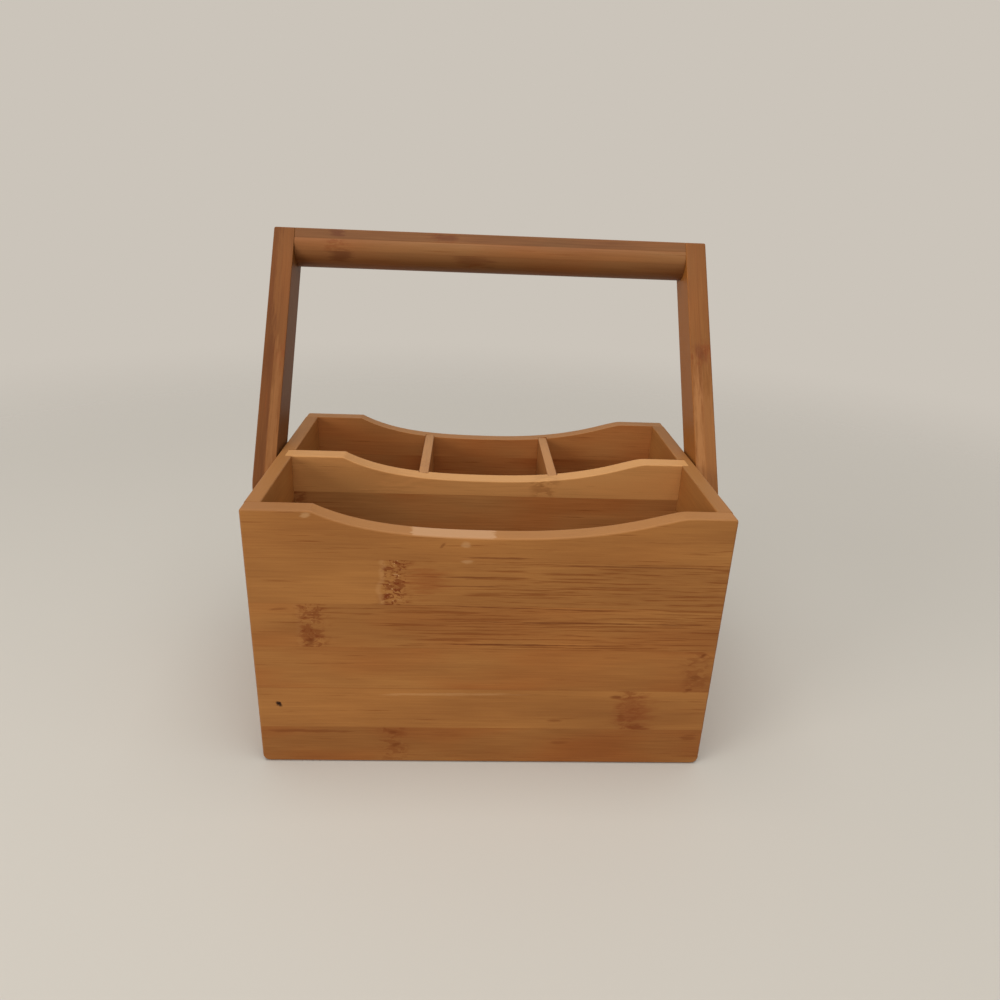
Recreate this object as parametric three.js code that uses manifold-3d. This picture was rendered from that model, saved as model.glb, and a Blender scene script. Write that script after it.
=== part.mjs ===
// A bamboo table caddy: one long front compartment, three rear compartments, and a handle that swings over.
// Millimetres. X runs along the width, +Y to the back, +Z up. The origin is the middle of the underside.
import * as THREE from "three";
import { mergeVertices } from "three/addons/utils/BufferGeometryUtils.js";
import Module from "manifold-3d";

// Box
const WIDTH = 254;
const DEPTH = 175;
const HEIGHT = 158;
const FACE_T = 10; // front and back panels
const END_T = 8.5; // end panels
const MIDDLE_T = 11.5; // middle divider, thick because the handle's screws end in it
const CROSS_T = 6; // cross dividers
const BOTTOM_T = 6; // bottom board
const FOOT_R = 4; // rounding of the two lower side edges
const DIP = 13.3; // depth of the dips in the top edges
const FRONT_DIP = [-92, 103]; // where the front panel's dip starts and ends
const INNER_DIP = [-88, 97]; // the same for the middle divider and the back panel
const CROSS_X = 40.25; // centre of each cross divider, for three equal compartments
const CROSS_TOP = 146;

// Joinery
const HOUSING = 4; // how far the middle divider is let into the end panels
const SLOT = 3; // how far the cross dividers are let into the boards they meet
const RABBET = 4; // how far the bottom board is let into the walls
const FIT = 0.25; // gap on each side of a piece in its housing
const HOLE_FIT = 0.3; // gap round a dowel, screw or brad
const CORNER_DOWEL_R = 2.5;
const CORNER_DOWEL_Z = [32, 79, 126];
const CORNER_DOWEL_IN_FACE = 7;
const CORNER_DOWEL_IN_END = 15;
const BRAD_R = 0.8;
const BRAD_HEAD_R = 1.5;
const BRAD_HEAD_T = 0.8;
const BRAD_LENGTH = 15;
const BRAD_INSET = 2; // from the edge of the bottom board
const BRADS_FRONT_TO_BACK = 42; // the brads' places from the middle of the box, along each wall
const BRADS_SIDE_TO_SIDE = 85;
const BRADS_IN_MIDDLE = 70;

// Handle
const PIVOT_Z = 137.5;
const LEAN = THREE.MathUtils.degToRad(35); // backwards from upright
const SIDE_GAP = 1.4; // between an end panel and its upright
const BAR_T = 13.5; // thickness of an upright, along the width
const BAR_D = 24; // depth of the uprights and the crossbar
const REACH = 169; // from the pivot to the top of the handle
const GRIP_H = 19.5; // height of the crossbar, whose lower half is round
const GRIP_GAP = 0.3; // between the crossbar's ends and the uprights
const GRIP_DOWEL_R = 3;
const GRIP_DOWEL_SPACING = 11;
const GRIP_DOWEL_DOWN = 9; // below the top of the handle
const GRIP_DOWEL_IN_BAR = 10;
const GRIP_DOWEL_IN_GRIP = 20;

// Pivot hardware
const SCREW_R = 2.5;
const SCREW_GRIP = 26; // length of the screw inside the middle divider
const SCREW_HEAD_R = 4.6;
const SCREW_HEAD_H = 3;
const SCREW_DOME = 0.7; // step of the rounding of the screw's head
const SOCKET_R = 1.8;
const SOCKET_DEPTH = 1.8;
const WASHER_T = 1.1;
const SPACER_R = 8;
const HEAD_WASHER_R = 5.7;
const RECESS_R = 6.2; // round recess in an upright's outer face, which hides head and washer
const RECESS_DEPTH = 5.2;

const ROUND = 24; // sides of a circle
const SMALL_ROUND = 8; // sides of a brad or dowel
const CURVE_STEPS = 12;
const PAST = 1; // how far a cutting tool runs past the face that it opens

const wasm = await Module();
wasm.setup();

const bamboo = (colour) => new THREE.MeshStandardMaterial({ color: colour, roughness: 0.55, metalness: 0 });
const steel = new THREE.MeshStandardMaterial({ color: 0xb8b8b4, roughness: 0.35, metalness: 1 });
const panelBamboo = bamboo(0xb87b43);
const innerBamboo = bamboo(0xb27640);
const handleBamboo = bamboo(0xa86f3e);
const dowelWood = bamboo(0xc9a473);

// Closed geometry to solid, and back.
function toSolid(geometry) {
  const bare = geometry.clone();
  bare.deleteAttribute("normal");
  bare.deleteAttribute("uv");
  const merged = mergeVertices(bare, 1e-4);
  const mesh = new wasm.Mesh({
    numProp: 3,
    vertProperties: new Float32Array(merged.attributes.position.array),
    triVerts: new Uint32Array(merged.index.array),
  });
  return new wasm.Manifold(mesh);
}

function toGeometry(solid) {
  const mesh = solid.getMesh();
  const geometry = new THREE.BufferGeometry();
  geometry.setAttribute("position", new THREE.BufferAttribute(mesh.vertProperties, 3));
  geometry.setIndex(new THREE.BufferAttribute(mesh.triVerts, 1));
  geometry.computeVertexNormals();
  return geometry;
}

function cut(geometry, tools) {
  let solid = toSolid(geometry);
  for (const tool of tools) solid = solid.subtract(toSolid(tool));
  return toGeometry(solid);
}

// A block between two corners.
function block([x0, y0, z0], [x1, y1, z1]) {
  const box = new THREE.BoxGeometry(x1 - x0, y1 - y0, z1 - z0);
  return box.translate((x0 + x1) / 2, (y0 + y1) / 2, (z0 + z1) / 2);
}

// Rods along each axis, from one end to the other.
function rodX(x0, x1, y, z, radius, sides = SMALL_ROUND) {
  const rod = new THREE.CylinderGeometry(radius, radius, x1 - x0, sides).rotateZ(-Math.PI / 2);
  return rod.translate((x0 + x1) / 2, y, z);
}

function rodY(y0, y1, x, z, radius, sides = SMALL_ROUND) {
  const rod = new THREE.CylinderGeometry(radius, radius, y1 - y0, sides);
  return rod.translate(x, (y0 + y1) / 2, z);
}

function slab(outline, depth) {
  return new THREE.ExtrudeGeometry(outline, { depth, bevelEnabled: false, curveSegments: CURVE_STEPS });
}

// A face outline in X and Z, made thick along Y from y0 to y1.
function board(outline, y0, y1) {
  return slab(outline, y1 - y0).rotateX(Math.PI / 2).translate(0, y1, 0);
}

// Draws the dip from right to left: a soft shoulder on the right, a crisp one on the left.
function drawDip(shape, [left, right], top) {
  const half = (right - left) / 2;
  const centre = (right + left) / 2;
  const low = top - DIP;
  shape.lineTo(right, top);
  shape.bezierCurveTo(right - 0.12 * half, top, centre + 0.66 * half, low, centre, low);
  shape.bezierCurveTo(centre - 0.4 * half, low, left + 0.26 * half, top - 0.92 * DIP, left, top);
}

// Outline of a board with a dip, standing on z0, with its lower corners rounded.
function dippedOutline(halfWidth, z0, dip, cornerR) {
  const shape = new THREE.Shape();
  shape.moveTo(-halfWidth, z0 + cornerR);
  if (cornerR > 0) {
    shape.absarc(-halfWidth + cornerR, z0 + cornerR, cornerR, Math.PI, 1.5 * Math.PI);
    shape.lineTo(halfWidth - cornerR, z0);
    shape.absarc(halfWidth - cornerR, z0 + cornerR, cornerR, 1.5 * Math.PI, 2 * Math.PI);
  } else {
    shape.lineTo(halfWidth, z0);
  }
  shape.lineTo(halfWidth, HEIGHT);
  drawDip(shape, dip, HEIGHT);
  shape.lineTo(-halfWidth, HEIGHT);
  shape.closePath();
  return shape;
}

const HALF_W = WIDTH / 2;
const HALF_D = DEPTH / 2;
const END_IN = HALF_W - END_T; // inner face of an end panel
const FACE_IN = HALF_D - FACE_T; // inner face of the front and back panels
const END_MID = HALF_W - END_T / 2;

// Rounded foot of an end panel, outline in X and Z for the right-hand one.
function endOutline() {
  const shape = new THREE.Shape();
  shape.moveTo(END_IN, 0);
  shape.lineTo(HALF_W - FOOT_R, 0);
  shape.absarc(HALF_W - FOOT_R, FOOT_R, FOOT_R, 1.5 * Math.PI, 2 * Math.PI);
  shape.lineTo(HALF_W, HEIGHT);
  shape.lineTo(END_IN, HEIGHT);
  shape.closePath();
  return shape;
}

// Turns a right-hand geometry into the left-hand one.
function mirrorX(geometry) {
  const mirrored = geometry.clone().scale(-1, 1, 1);
  const order = mirrored.index.array;
  for (let i = 0; i < order.length; i += 3) [order[i], order[i + 1]] = [order[i + 1], order[i]];
  return mirrored;
}

// Room in the walls for the bottom board.
const rabbet = block(
  [-END_IN - RABBET - FIT, -FACE_IN - RABBET - FIT, -PAST],
  [END_IN + RABBET + FIT, FACE_IN + RABBET + FIT, BOTTOM_T + FIT],
);

// Where the corner dowels lie: side is -1 or 1 along X, face is -1 at the front and 1 at the back.
function cornerDowels(side, face, gap) {
  const inEnd = face * (FACE_IN - CORNER_DOWEL_IN_END - gap);
  const inFace = face * (FACE_IN + CORNER_DOWEL_IN_FACE + gap);
  const [y0, y1] = [Math.min(inEnd, inFace), Math.max(inEnd, inFace)];
  return CORNER_DOWEL_Z.map((z) => rodY(y0, y1, side * END_MID, z, CORNER_DOWEL_R + gap));
}

// Where the brads stand: along the four walls and under the middle divider.
const BRAD_X = END_IN + RABBET - BRAD_INSET;
const BRAD_Y = FACE_IN + RABBET - BRAD_INSET;
const bradPlaces = [
  ...[-BRADS_SIDE_TO_SIDE, 0, BRADS_SIDE_TO_SIDE].flatMap((x) => [[x, -BRAD_Y], [x, BRAD_Y]]),
  ...[-BRADS_FRONT_TO_BACK, BRADS_FRONT_TO_BACK].flatMap((y) => [[-BRAD_X, y], [BRAD_X, y]]),
  [-BRADS_IN_MIDDLE, 0],
  [BRADS_IN_MIDDLE, 0],
];

// A brad's shank and head, or the room for it when gap is more than 0.
function brad([x, y], gap) {
  const profile = [
    [0, -gap],
    [BRAD_HEAD_R + gap, -gap],
    [BRAD_HEAD_R + gap, BRAD_HEAD_T + gap],
    [BRAD_R + gap, BRAD_HEAD_T + gap],
    [BRAD_R + gap, BRAD_LENGTH],
    [0, BRAD_LENGTH + BRAD_R + gap],
  ].map(([r, z]) => new THREE.Vector2(r, z));
  return new THREE.LatheGeometry(profile, SMALL_ROUND).rotateX(Math.PI / 2).translate(x, y, 0);
}

const bradHoles = bradPlaces.map((place) => brad(place, HOLE_FIT));

// The pivot screw on the right: its head lies in the upright's recess, its shank runs through the upright and
// the end panel, and its thread ends in the middle divider.
const BAR_IN = HALF_W + SIDE_GAP; // inner face of an upright
const BAR_OUT = BAR_IN + BAR_T;
const RECESS_X = BAR_OUT - RECESS_DEPTH;
const HEAD_WASHER_X = RECESS_X + HOLE_FIT;
const SCREW_HEAD_X = HEAD_WASHER_X + WASHER_T;
const SCREW_TIP_X = END_IN + HOUSING - SCREW_GRIP;

function screw() {
  const head = SCREW_HEAD_X + SCREW_HEAD_H;
  const profile = [
    [0, SCREW_TIP_X],
    [SCREW_R * 0.5, SCREW_TIP_X + SCREW_R],
    [SCREW_R, SCREW_TIP_X + 2.5 * SCREW_R],
    [SCREW_R, SCREW_HEAD_X],
    [SCREW_HEAD_R, SCREW_HEAD_X],
    [SCREW_HEAD_R, head - 2 * SCREW_DOME],
    [SCREW_HEAD_R - SCREW_DOME, head - SCREW_DOME],
    [SCREW_HEAD_R - 2.5 * SCREW_DOME, head],
    [SOCKET_R, head],
    [SOCKET_R, head - SOCKET_DEPTH],
    [0, head - SOCKET_DEPTH],
  ].map(([r, x]) => new THREE.Vector2(r, x));
  return new THREE.LatheGeometry(profile, ROUND).rotateZ(-Math.PI / 2).translate(0, 0, PIVOT_Z);
}

const screwHole = rodX(SCREW_TIP_X - HOLE_FIT, BAR_OUT + PAST, 0, PIVOT_Z, SCREW_R + HOLE_FIT, ROUND);

function washer(x, outerR) {
  const bore = SCREW_R + HOLE_FIT;
  const profile = [
    [bore, x],
    [outerR, x],
    [outerR, x + WASHER_T],
    [bore, x + WASHER_T],
    [bore, x],
  ].map(([r, along]) => new THREE.Vector2(r, along));
  return new THREE.LatheGeometry(profile, ROUND).rotateZ(-Math.PI / 2).translate(0, 0, PIVOT_Z);
}

// Room in the end panels, the middle divider and the back panel for the dividers let into them.
const middleHousing = block(
  [-END_IN - HOUSING - FIT, -MIDDLE_T / 2 - FIT, BOTTOM_T],
  [END_IN + HOUSING + FIT, MIDDLE_T / 2 + FIT, HEIGHT + PAST],
);
const CROSS_Y0 = MIDDLE_T / 2 - SLOT;
const CROSS_Y1 = FACE_IN + SLOT;

function crossHousing(side) {
  return block(
    [side * CROSS_X - CROSS_T / 2 - FIT, CROSS_Y0 - FIT, BOTTOM_T],
    [side * CROSS_X + CROSS_T / 2 + FIT, CROSS_Y1 + FIT, HEIGHT + PAST],
  );
}

function facePanel(face) {
  const dip = face < 0 ? FRONT_DIP : INNER_DIP;
  const outline = dippedOutline(HALF_W, 0, dip, FOOT_R);
  const [y0, y1] = face < 0 ? [-HALF_D, -FACE_IN] : [FACE_IN, HALF_D];
  const tools = [
    rabbet,
    ...bradHoles,
    ...cornerDowels(-1, face, HOLE_FIT),
    ...cornerDowels(1, face, HOLE_FIT),
  ];
  if (face > 0) tools.push(crossHousing(-1), crossHousing(1));
  return cut(board(outline, y0, y1), tools);
}

function endPanel() {
  const tools = [
    rabbet,
    ...bradHoles,
    ...cornerDowels(1, -1, HOLE_FIT),
    ...cornerDowels(1, 1, HOLE_FIT),
    middleHousing,
    screwHole,
  ];
  return cut(board(endOutline(), -FACE_IN, FACE_IN), tools);
}

function middleDivider() {
  const outline = dippedOutline(END_IN + HOUSING, BOTTOM_T, INNER_DIP, 0);
  const tools = [crossHousing(-1), crossHousing(1), screwHole, mirrorX(screwHole), ...bradHoles];
  return cut(board(outline, -MIDDLE_T / 2, MIDDLE_T / 2), tools);
}

function crossDivider(side) {
  return block(
    [side * CROSS_X - CROSS_T / 2, CROSS_Y0, BOTTOM_T],
    [side * CROSS_X + CROSS_T / 2, CROSS_Y1, CROSS_TOP],
  );
}

function bottomBoard() {
  const plain = block(
    [-END_IN - RABBET, -FACE_IN - RABBET, 0],
    [END_IN + RABBET, FACE_IN + RABBET, BOTTOM_T],
  );
  return cut(plain, bradHoles);
}

// Handle pieces, in the handle's own frame: origin at the pivot, +Z along the uprights.
function gripDowels(gap) {
  const z = REACH - GRIP_DOWEL_DOWN;
  const x0 = BAR_IN - GRIP_GAP - GRIP_DOWEL_IN_GRIP - gap;
  const x1 = BAR_IN + GRIP_DOWEL_IN_BAR + gap;
  return [-1, 1].map((way) => rodX(x0, x1, (way * GRIP_DOWEL_SPACING) / 2, z, GRIP_DOWEL_R + gap));
}

// A side outline in Y and Z, made thick along X from x0 to x1.
function bar(outline, x0, x1) {
  return slab(outline, x1 - x0).rotateX(Math.PI / 2).rotateZ(Math.PI / 2).translate(x0, 0, 0);
}

function upright() {
  const r = BAR_D / 2;
  const outline = new THREE.Shape();
  outline.moveTo(r, 0);
  outline.lineTo(r, REACH);
  outline.lineTo(-r, REACH);
  outline.lineTo(-r, 0);
  outline.absarc(0, 0, r, Math.PI, 2 * Math.PI);
  const pivotHole = rodX(BAR_IN - PAST, BAR_OUT + PAST, 0, 0, SCREW_R + HOLE_FIT, ROUND);
  const recess = rodX(RECESS_X, BAR_OUT + PAST, 0, 0, RECESS_R, ROUND);
  return cut(bar(outline, BAR_IN, BAR_OUT), [pivotHole, recess, ...gripDowels(HOLE_FIT)]);
}

function crossbar() {
  const r = BAR_D / 2;
  const low = REACH - GRIP_H + r;
  const outline = new THREE.Shape();
  outline.moveTo(r, low);
  outline.lineTo(r, REACH);
  outline.lineTo(-r, REACH);
  outline.lineTo(-r, low);
  outline.absarc(0, low, r, Math.PI, 2 * Math.PI);
  const half = BAR_IN - GRIP_GAP;
  const holes = gripDowels(HOLE_FIT);
  return cut(bar(outline, -half, half), [...holes, ...holes.map(mirrorX)]);
}

function piece(name, geometry, material) {
  const mesh = new THREE.Mesh(geometry, material);
  mesh.name = name;
  return mesh;
}

const caddy = new THREE.Group();
const box = new THREE.Group();
const handle = new THREE.Group();
handle.position.set(0, 0, PIVOT_Z);
handle.rotation.x = -LEAN;
caddy.add(box, handle);

const rightEnd = endPanel();
box.add(
  piece("front_panel", facePanel(-1), panelBamboo),
  piece("back_panel", facePanel(1), panelBamboo),
  piece("right_end_panel", rightEnd, panelBamboo),
  piece("left_end_panel", mirrorX(rightEnd), panelBamboo),
  piece("middle_divider", middleDivider(), innerBamboo),
  piece("left_cross_divider", crossDivider(-1), innerBamboo),
  piece("right_cross_divider", crossDivider(1), innerBamboo),
  piece("bottom_board", bottomBoard(), innerBamboo),
  piece("right_pivot_screw", screw(), steel),
  piece("left_pivot_screw", mirrorX(screw()), steel),
  piece("right_spacer_washer", washer(HALF_W, SPACER_R), steel),
  piece("left_spacer_washer", mirrorX(washer(HALF_W, SPACER_R)), steel),
  piece("right_head_washer", washer(HEAD_WASHER_X, HEAD_WASHER_R), steel),
  piece("left_head_washer", mirrorX(washer(HEAD_WASHER_X, HEAD_WASHER_R)), steel),
);

for (const [faceName, face] of [["front", -1], ["back", 1]]) {
  for (const [sideName, side] of [["left", -1], ["right", 1]]) {
    cornerDowels(side, face, 0).forEach((dowel, i) => {
      box.add(piece(`${faceName}_${sideName}_dowel_${i + 1}`, dowel, dowelWood));
    });
  }
}

bradPlaces.forEach((place, i) => box.add(piece(`bottom_brad_${i + 1}`, brad(place, 0), steel)));

const rightUpright = upright();
handle.add(
  piece("handle_right_upright", rightUpright, handleBamboo),
  piece("handle_left_upright", mirrorX(rightUpright), handleBamboo),
  piece("handle_crossbar", crossbar(), handleBamboo),
);

gripDowels(0).forEach((dowel, i) => {
  handle.add(piece(`handle_right_dowel_${i + 1}`, dowel, dowelWood));
  handle.add(piece(`handle_left_dowel_${i + 1}`, mirrorX(dowel), dowelWood));
});

export default caddy;
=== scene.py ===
import math
import random

import bmesh
import bpy
from mathutils import Matrix, Vector


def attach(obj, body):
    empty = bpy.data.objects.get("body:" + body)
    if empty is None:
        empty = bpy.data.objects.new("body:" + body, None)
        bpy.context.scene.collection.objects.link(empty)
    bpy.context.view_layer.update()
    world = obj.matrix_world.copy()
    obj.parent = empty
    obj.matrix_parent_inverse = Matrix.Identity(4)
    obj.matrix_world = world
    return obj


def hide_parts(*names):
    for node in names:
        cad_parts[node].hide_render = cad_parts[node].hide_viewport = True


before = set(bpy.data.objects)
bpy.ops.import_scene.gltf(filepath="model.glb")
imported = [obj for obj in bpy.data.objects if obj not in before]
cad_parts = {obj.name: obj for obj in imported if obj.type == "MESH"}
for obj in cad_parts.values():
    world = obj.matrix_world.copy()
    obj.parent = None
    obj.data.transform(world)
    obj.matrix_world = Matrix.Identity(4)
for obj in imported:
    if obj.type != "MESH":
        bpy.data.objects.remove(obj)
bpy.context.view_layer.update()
bpy.context.scene.view_settings.view_transform = "Standard"

# The camera: a phone held 0.44 m in front of the caddy's middle and 0.31 m up, tipped down 22 degrees and
# rolled a little. Its place and lens come from a fit to the box's corners and the handle's edges.
CAMERA_AT = (-0.01397, -0.43673, 0.30985)
YAW = 0.0498
PITCH = 0.39
ROLL = 0.04199


def in_scene(name, data):
    """An object at the origin, linked to the scene."""
    made = bpy.data.objects.new(name, data)
    bpy.context.scene.collection.objects.link(made)
    return made


camera = in_scene("camera", bpy.data.cameras.new("camera"))
camera.data.sensor_width = 36
camera.data.lens = 27.11
aim = Matrix.Rotation(-YAW, 4, "Z") @ Matrix.Rotation(math.pi / 2 - PITCH, 4, "X")
camera.matrix_world = Matrix.Translation(CAMERA_AT) @ aim @ Matrix.Rotation(ROLL, 4, "Z")
bpy.context.scene.camera = camera


# The studio: a pale paper floor that fades into a pale surround, a soft lamp at the front left, low as in the
# photograph, a wide soft lamp above and a faint one at the right. None of it belongs to the caddy.
def srgb(code):
    """A colour written as sRGB hex, as the linear values that a shader takes."""
    levels = [int(code[i : i + 2], 16) / 255 for i in (1, 3, 5)]
    return (*(v / 12.92 if v <= 0.04045 else ((v + 0.055) / 1.055) ** 2.4 for v in levels), 1)


def add(tree, kind, inputs=(), out=0, **settings):
    """Adds a node with its settings, values and links, and gives one of its outputs."""
    made = tree.nodes.new(kind)
    for key, value in settings.items():
        setattr(made, key, value)
    for key, value in dict(inputs).items():
        if isinstance(value, bpy.types.NodeSocket):
            tree.links.new(value, made.inputs[key])
        else:
            made.inputs[key].default_value = value
    return made.outputs[out] if len(made.outputs) else made


def material_tree(name):
    """A new material, and its empty node tree."""
    material = bpy.data.materials.new(name)
    material.use_nodes = True
    material.node_tree.nodes.clear()
    return material, material.node_tree


MATH = "ShaderNodeMath"
RANGE = "ShaderNodeMapRange"
NOISE = "ShaderNodeTexNoise"
MIX = "ShaderNodeMix"

SURROUND = srgb("#CBC4BA")
FILL_STRENGTH = 0.385
surround = bpy.data.worlds.new("surround")
surround.use_nodes = True
bpy.context.scene.world = surround
tree = surround.node_tree
tree.nodes.clear()
rays = add(tree, "ShaderNodeLightPath").node.outputs
seen = add(tree, MATH, {0: rays["Is Camera Ray"], 1: rays["Is Glossy Ray"]}, operation="MAXIMUM")
seen = add(tree, MATH, {0: seen, 1: rays["Is Transmission Ray"]}, operation="MAXIMUM")
shown = add(tree, "ShaderNodeBackground", {0: SURROUND, 1: 1.0})
fill = add(tree, "ShaderNodeBackground", {0: srgb("#FFFCF8"), 1: FILL_STRENGTH})
mixed = add(tree, "ShaderNodeMixShader", {0: seen, 1: fill, 2: shown})
add(tree, "ShaderNodeOutputWorld", {0: mixed})

FLOOR_HALF = 3.0
FLOOR_Z = -0.0003
floor_mesh = bpy.data.meshes.new("floor")
floor_corners = [(x * FLOOR_HALF, y * FLOOR_HALF, FLOOR_Z) for x, y in ((-1, -1), (1, -1), (1, 1), (-1, 1))]
floor_mesh.from_pydata(floor_corners, [], [(0, 1, 2, 3)])
floor = in_scene("floor", floor_mesh)
# Matt studio paper, an even pale tone. It thins out with distance, so that no horizon shows.
PAPER = srgb("#C5C2BB")
FADE_FROM = 0.3
FADE_TO = 1.25
paper, tree = material_tree("matt_paper")
place = add(tree, "ShaderNodeTexCoord", out="Object")
distance = add(tree, "ShaderNodeVectorMath", {0: place}, "Value", operation="LENGTH")
fade = add(tree, RANGE, {0: distance, 1: FADE_FROM, 2: FADE_TO}, interpolation_type="SMOOTHSTEP")
grit = add(tree, NOISE, {"Vector": place, "Scale": 900.0, "Detail": 2.0})
tooth = add(tree, "ShaderNodeBump", {"Strength": 0.08, "Distance": 0.0002, "Height": grit})
sheet = add(tree, "ShaderNodeBsdfPrincipled", {"Base Color": PAPER, "Roughness": 0.85, "Normal": tooth})
gone = add(tree, "ShaderNodeBsdfTransparent")
add(tree, "ShaderNodeOutputMaterial", {0: add(tree, "ShaderNodeMixShader", {0: fade, 1: sheet, 2: gone})})
floor_mesh.materials.append(paper)

LAMP_COLOUR = srgb("#FFFAF4")
LAMPS_AIM_AT = Vector((0, 0, 0.12))
for lamp_name, spot, size, power in (
    ("front_left_lamp", (-1.3, -0.92, 0.62), 0.7, 9.6),
    ("top_lamp", (0.0, -0.35, 1.7), 1.6, 21.4),
    ("right_lamp", (1.5, -0.6, 0.7), 0.9, 2.2),
):
    light = bpy.data.lights.new(lamp_name, "AREA")
    light.shape = "SQUARE"
    light.size = size
    light.energy = power
    light.color = LAMP_COLOUR[:3]
    lamp = in_scene(lamp_name, light)
    lamp.location = spot
    lamp.rotation_euler = (LAMPS_AIM_AT - Vector(spot)).to_track_quat("-Z", "Y").to_euler()


# The front board: 10 mm of bamboo, glued up from six strips 26.7 mm wide, with a dip sawn in its top edge.
# It covers the ends of the end boards and is dowelled and glued to them, then sanded and lacquered.
MM = 0.001
HEIGHT = 158
DIP = 13.3
FOOT_R = 4
STRIP = 26.7
END_IN = 118.5
FACE_IN = 77.5
HALF_W = 127
HALF_D = 87.5
CURVE_STEPS = 36


def rounded(corners, steps=5):
    """An outline in mm from corners (across, up, radius); a radius of 0 leaves a corner as it is."""
    line = []
    for i, (x, y, radius) in enumerate(corners):
        here = Vector((x, y))
        if radius == 0:
            line.append(here)
            continue
        before = (Vector(corners[i - 1][:2]) - here).normalized()
        after = (Vector(corners[(i + 1) % len(corners)][:2]) - here).normalized()
        half = before.angle(after) / 2
        sweep = math.pi - 2 * half
        centre = here + (before + after).normalized() * radius / math.sin(half)
        start = here + before * radius / math.tan(half) - centre
        end = here + after * radius / math.tan(half) - centre
        for k in range(steps + 1):
            a, b = math.sin(sweep * (1 - k / steps)), math.sin(sweep * k / steps)
            line.append(centre + (start * a + end * b) / math.sin(sweep))
    return line


def dipped_outline(half_width, bottom, foot, dip_from, dip_to, shoulder):
    """A board with the sawn dip: a soft shoulder on the right and a crisp one on the left, each a curve whose
    handles are shares of the dip's half width."""
    half, middle, low = (dip_to - dip_from) / 2, (dip_to + dip_from) / 2, HEIGHT - DIP
    curves = (
        ((dip_to, HEIGHT), (dip_to - 0.12 * half, HEIGHT), (middle + 0.66 * half, low), (middle, low)),
        ((middle, low), (middle - 0.4 * half, low), (dip_from + 0.26 * half, HEIGHT - 0.92 * DIP),
         (dip_from, HEIGHT)),
    )
    points = [(dip_to, HEIGHT, 0)]
    for curve in curves:
        a, b, c, d = map(Vector, curve)
        for k in range(1, CURVE_STEPS + 1):
            t = k / CURVE_STEPS
            p = a * (1 - t) ** 3 + b * 3 * t * (1 - t) ** 2 + c * 3 * t * t * (1 - t) + d * t**3
            points.append((p.x, p.y, 0))
    foot_corners = [(-half_width, bottom, foot), (half_width, bottom, foot)]
    return rounded([*foot_corners, (half_width, HEIGHT, shoulder), *points, (-half_width, HEIGHT, shoulder)])


def eased_board(name, outline, axes, near, far, near_ease, far_ease):
    """A closed board in metres: the outline lies along the first two axes, the thickness along the third, and
    sandpaper has rounded the arrises of both faces."""
    steps = 4
    angles = [k / steps * math.pi / 2 for k in range(steps + 1)]
    levels = [(near + near_ease * (1 - math.cos(a)), near_ease * (1 - math.sin(a))) for a in angles]
    levels += [(far - far_ease * (1 - math.cos(a)), far_ease * (1 - math.sin(a))) for a in reversed(angles)]
    inward = []
    for i, here in enumerate(outline):
        one, two = (here - outline[i - 1]).normalized(), (outline[(i + 1) % len(outline)] - here).normalized()
        one, two = Vector((-one.y, one.x)), Vector((-two.y, two.x))
        inward.append((one + two) / (1 + one.dot(two)))
    board = bmesh.new()
    rings = []
    for depth, inset in levels:
        ring = []
        for here, way in zip(outline, inward):
            spot = [0.0, 0.0, 0.0]
            spot[axes[0]], spot[axes[1]] = (here + way * inset) * MM
            spot[axes[2]] = depth * MM
            ring.append(board.verts.new(spot))
        rings.append(ring)
    board.faces.new(rings[0])
    board.faces.new(rings[-1])
    for lower, upper in zip(rings, rings[1:]):
        for i in range(len(outline)):
            board.faces.new((lower[i - 1], lower[i], upper[i], upper[i - 1]))
    return as_object(name, board)


def as_object(name, shape):
    """A finished bmesh as an object at the origin, with its faces outwards."""
    bmesh.ops.recalc_face_normals(shape, faces=shape.faces)
    mesh = bpy.data.meshes.new(name)
    shape.to_mesh(mesh)
    shape.free()
    return in_scene(name, mesh)


def router(low, high):
    """A block to cut away, between two corners in mm."""
    shape = bmesh.new()
    size = Vector(high) - Vector(low)
    middle = (Vector(high) + Vector(low)) / 2
    bmesh.ops.create_cube(shape, size=1, matrix=Matrix.Diagonal((*size * MM, 1)))
    bmesh.ops.translate(shape, verts=shape.verts, vec=middle * MM)
    return as_object("cutter", shape)


def turned(name, profile, spot, axis, sides=32):
    """A lathe shape. The profile's (radius, along) run along an axis through a spot, in mm, and a third value
    makes that ring a hexagon."""
    shape = bmesh.new()
    rings = []
    for radius, along, *hexagon in profile:
        ring = []
        for k in range(sides if radius else 1):
            angle = 2 * math.pi * k / sides
            reach = radius
            if hexagon:
                reach = radius / math.cos((angle + math.pi / 6) % (math.pi / 3) - math.pi / 6)
            point = Vector(spot)
            point[axis] += along
            point[(axis + 1) % 3] += reach * math.cos(angle)
            point[(axis + 2) % 3] += reach * math.sin(angle)
            ring.append(shape.verts.new(point * MM))
        rings.append(ring)
    for lower, upper in zip(rings, rings[1:]):
        for k in range(sides):
            if len(lower) == 1:
                corners = (lower[0], upper[k], upper[k - 1])
            elif len(upper) == 1:
                corners = (lower[k - 1], lower[k], upper[0])
            else:
                corners = (lower[k - 1], lower[k], upper[k], upper[k - 1])
            shape.faces.new(corners)
    return as_object(name, shape)


def drill(start, end, axis, radius):
    """A round hole to cut away, from one spot in mm along an axis."""
    profile = [(0, 0), (radius, 0), (radius, end - start[axis]), (0, end - start[axis])]
    return turned("cutter", profile, start, axis)


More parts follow.
